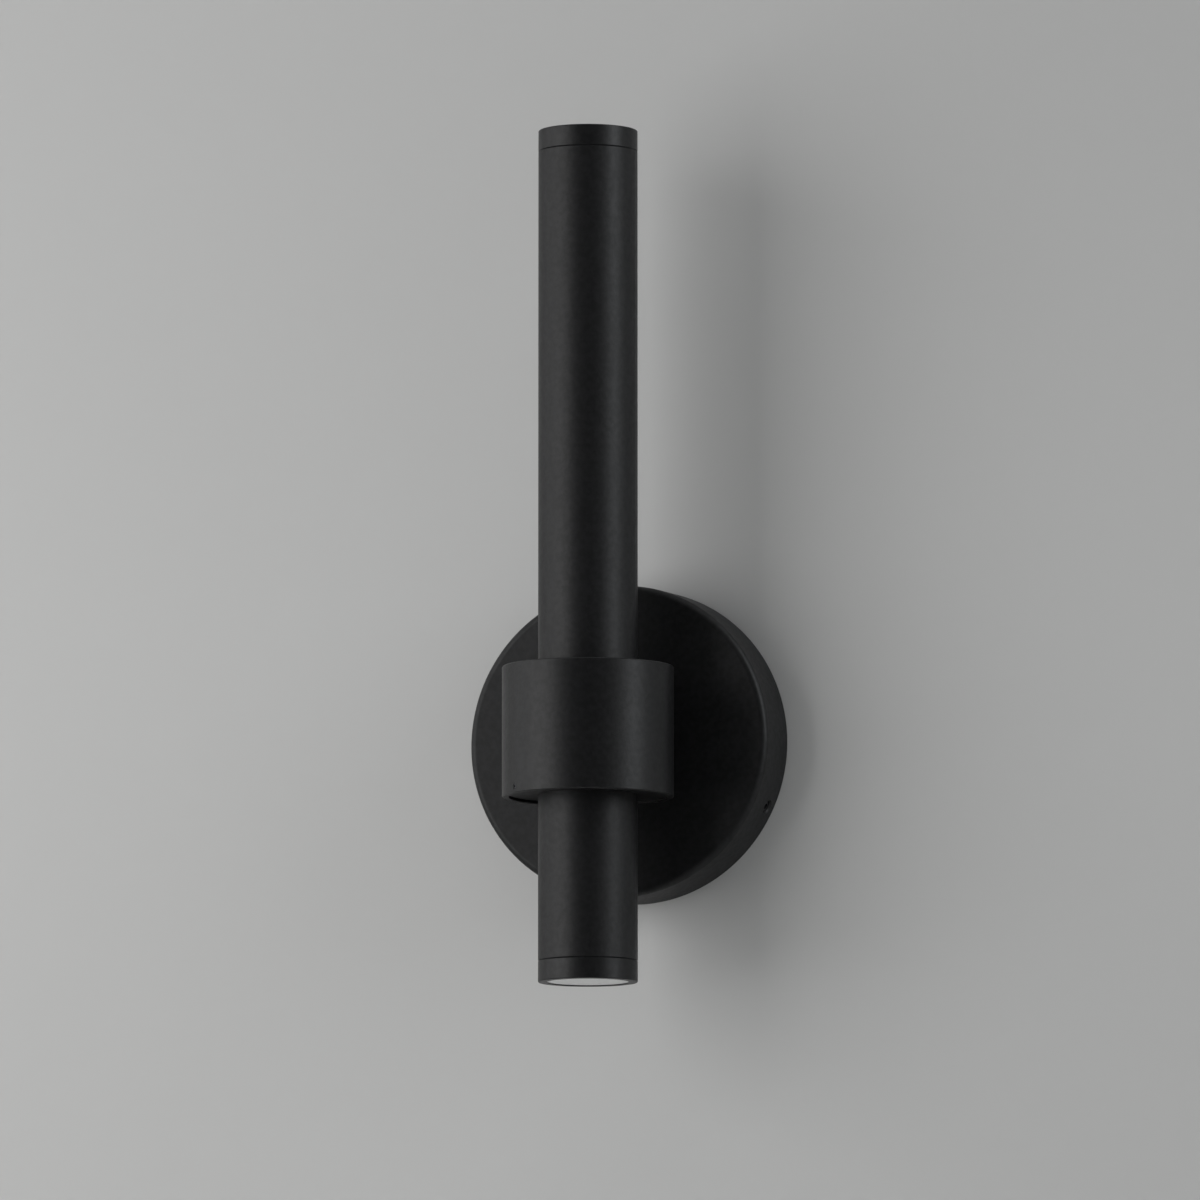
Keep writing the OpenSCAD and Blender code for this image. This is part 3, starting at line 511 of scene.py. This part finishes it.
def make_wall():
    """A rectangle round a round opening: quads out to the border, and triangles in the corners."""
    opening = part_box("canopy")[1].x - CANOPY_COVERS
    count = 96
    inner, outer = [], []
    for i in range(count):
        a = 2 * math.pi * i / count
        c, s = math.cos(a), math.sin(a)
        to_side = WALL_HALF_WIDTH / max(abs(c), 1e-9)
        to_end = (WALL_TOP if s > 0 else -FLOOR_Z) / max(abs(s), 1e-9)
        reach = min(to_side, to_end)
        inner.append((opening * c, WALL_Y, opening * s))
        outer.append((reach * c, WALL_Y, reach * s))
    corners = [
        (x, WALL_Y, z) for x in (-WALL_HALF_WIDTH, WALL_HALF_WIDTH) for z in (FLOOR_Z, WALL_TOP)
    ]
    faces = []
    for i in range(count):
        j = (i + 1) % count
        faces.append((i, count + i, count + j, j))
        a, b = outer[i], outer[j]
        if abs(a[0] - b[0]) > 1e-6 and abs(a[2] - b[2]) > 1e-6:
            nearest = min(range(4), key=lambda k: math.dist(corners[k], a))
            faces.append((count + i, 2 * count + nearest, count + j))
    # The wall paint is 7% darker towards the top: painted shade
    paint = stage_material(
        "wall_paint", (0.648, 0.647, 0.638), (0.668, 0.666, 0.656), 3, top_shade_share=0.07
    )
    return mesh_object("wall", inner + outer + corners, faces, paint)


def make_floor():
    e = FLOOR_HALF_WIDTH
    points = [(-e, -e, FLOOR_Z), (e, -e, FLOOR_Z), (e, e, FLOOR_Z), (-e, e, FLOOR_Z)]
    paint = stage_material("floor_paint", (0.70, 0.70, 0.695), (0.74, 0.74, 0.735), 2)
    return mesh_object("floor", points, [(0, 1, 2, 3)], paint)


make_wall()
make_floor()


# Light: an even pale room, a soft box on the left, a narrow one near the wall on each side, and
# a screen in front. The camera sees none of them

LIGHT_TARGET = (0, -0.06, 0.07)
ROOM_COLOUR = (0.98, 0.99, 1.0)
ROOM_STRENGTH = 0.6
FLAG_RADIUS, FLAG_LOW, FLAG_HIGH = 3.0, -1.1, 2.6
FLAG_AZIMUTHS = range(-78, 58, 5)
# Grey across the screen, by its X: 0 is FLAG_RADIUS to the left, 1 is FLAG_RADIUS to the right
FLAG_TONES = ((0.10, 0.65), (0.36, 0.65), (0.50, 0.06), (0.75, 0.08), (0.93, 0.35))


def direction(azimuth, elevation=0.0):
    """Unit vector out of the wall: azimuth 0 is straight out, positive to the right."""
    a, e = math.radians(azimuth), math.radians(elevation)
    return Vector((math.sin(a) * math.cos(e), -math.cos(a) * math.cos(e), math.sin(e)))


def soft_box(name, azimuth, elevation, distance, size, watts, colour=(1, 1, 1)):
    """An area light that looks at the middle of the object."""
    data = bpy.data.lights.new(name, "AREA")
    data.shape = "RECTANGLE"
    data.size, data.size_y = size
    data.energy = watts
    data.color = colour
    obj = bpy.data.objects.new(name, data)
    scene.collection.objects.link(obj)
    away = direction(azimuth, elevation)
    obj.location = Vector(LIGHT_TARGET) + distance * away
    obj.rotation_mode = "QUATERNION"
    obj.rotation_quaternion = (-away).to_track_quat("-Z", "Y")
    obj.visible_camera = False


def make_flag():
    """A curved screen in front of the object, grey on the left and black in the middle."""
    made, g = material("grey_flag")
    across = g.add("ShaderNodeSeparateXYZ", {0: g.place((0.5 / FLAG_RADIUS, 1, 1))}).outputs["X"]
    tone = g.add("ShaderNodeValToRGB", {"Fac": g.math("ADD", across, 0.5)})
    stops = tone.color_ramp.elements
    for stop, (position, value) in zip(stops, (FLAG_TONES[0], FLAG_TONES[-1])):
        stop.position, stop.color = position, (*grey(value), 1)
    for position, value in FLAG_TONES[1:-1]:
        stops.new(position).color = (*grey(value), 1)
    g.surface({"Base Color": tone.outputs["Color"], "Roughness": 0.9, "Specular IOR Level": 0.0})
    points = []
    for azimuth in FLAG_AZIMUTHS:
        at = FLAG_RADIUS * direction(azimuth)
        points += [(at.x, at.y, FLAG_LOW), (at.x, at.y, FLAG_HIGH)]
    faces = [(2 * i, 2 * i + 2, 2 * i + 3, 2 * i + 1) for i in range(len(FLAG_AZIMUTHS) - 1)]
    flag = mesh_object("flag", points, faces, made)
    flag.visible_camera = False
    return flag


make_flag()
soft_box("key", azimuth=-47, elevation=2.5, distance=1.4, size=(1.15, 1.3), watts=11.0)
soft_box(
    "right_edge", azimuth=84, elevation=24, distance=2.0, size=(0.62, 1.7), watts=15.5,
    colour=(0.93, 0.97, 1.0),
)
soft_box("left_edge", azimuth=-85, elevation=15, distance=2.0, size=(0.35, 1.7), watts=3.2)

world = bpy.data.worlds.new("room")
scene.world = world
world.use_nodes = True
room = Graph(world.node_tree)
light = room.add("ShaderNodeBackground", {"Color": ROOM_COLOUR, "Strength": ROOM_STRENGTH})
room.add("ShaderNodeOutputWorld", {"Surface": light.outputs["Background"]})

scene.view_settings.view_transform = "Standard"
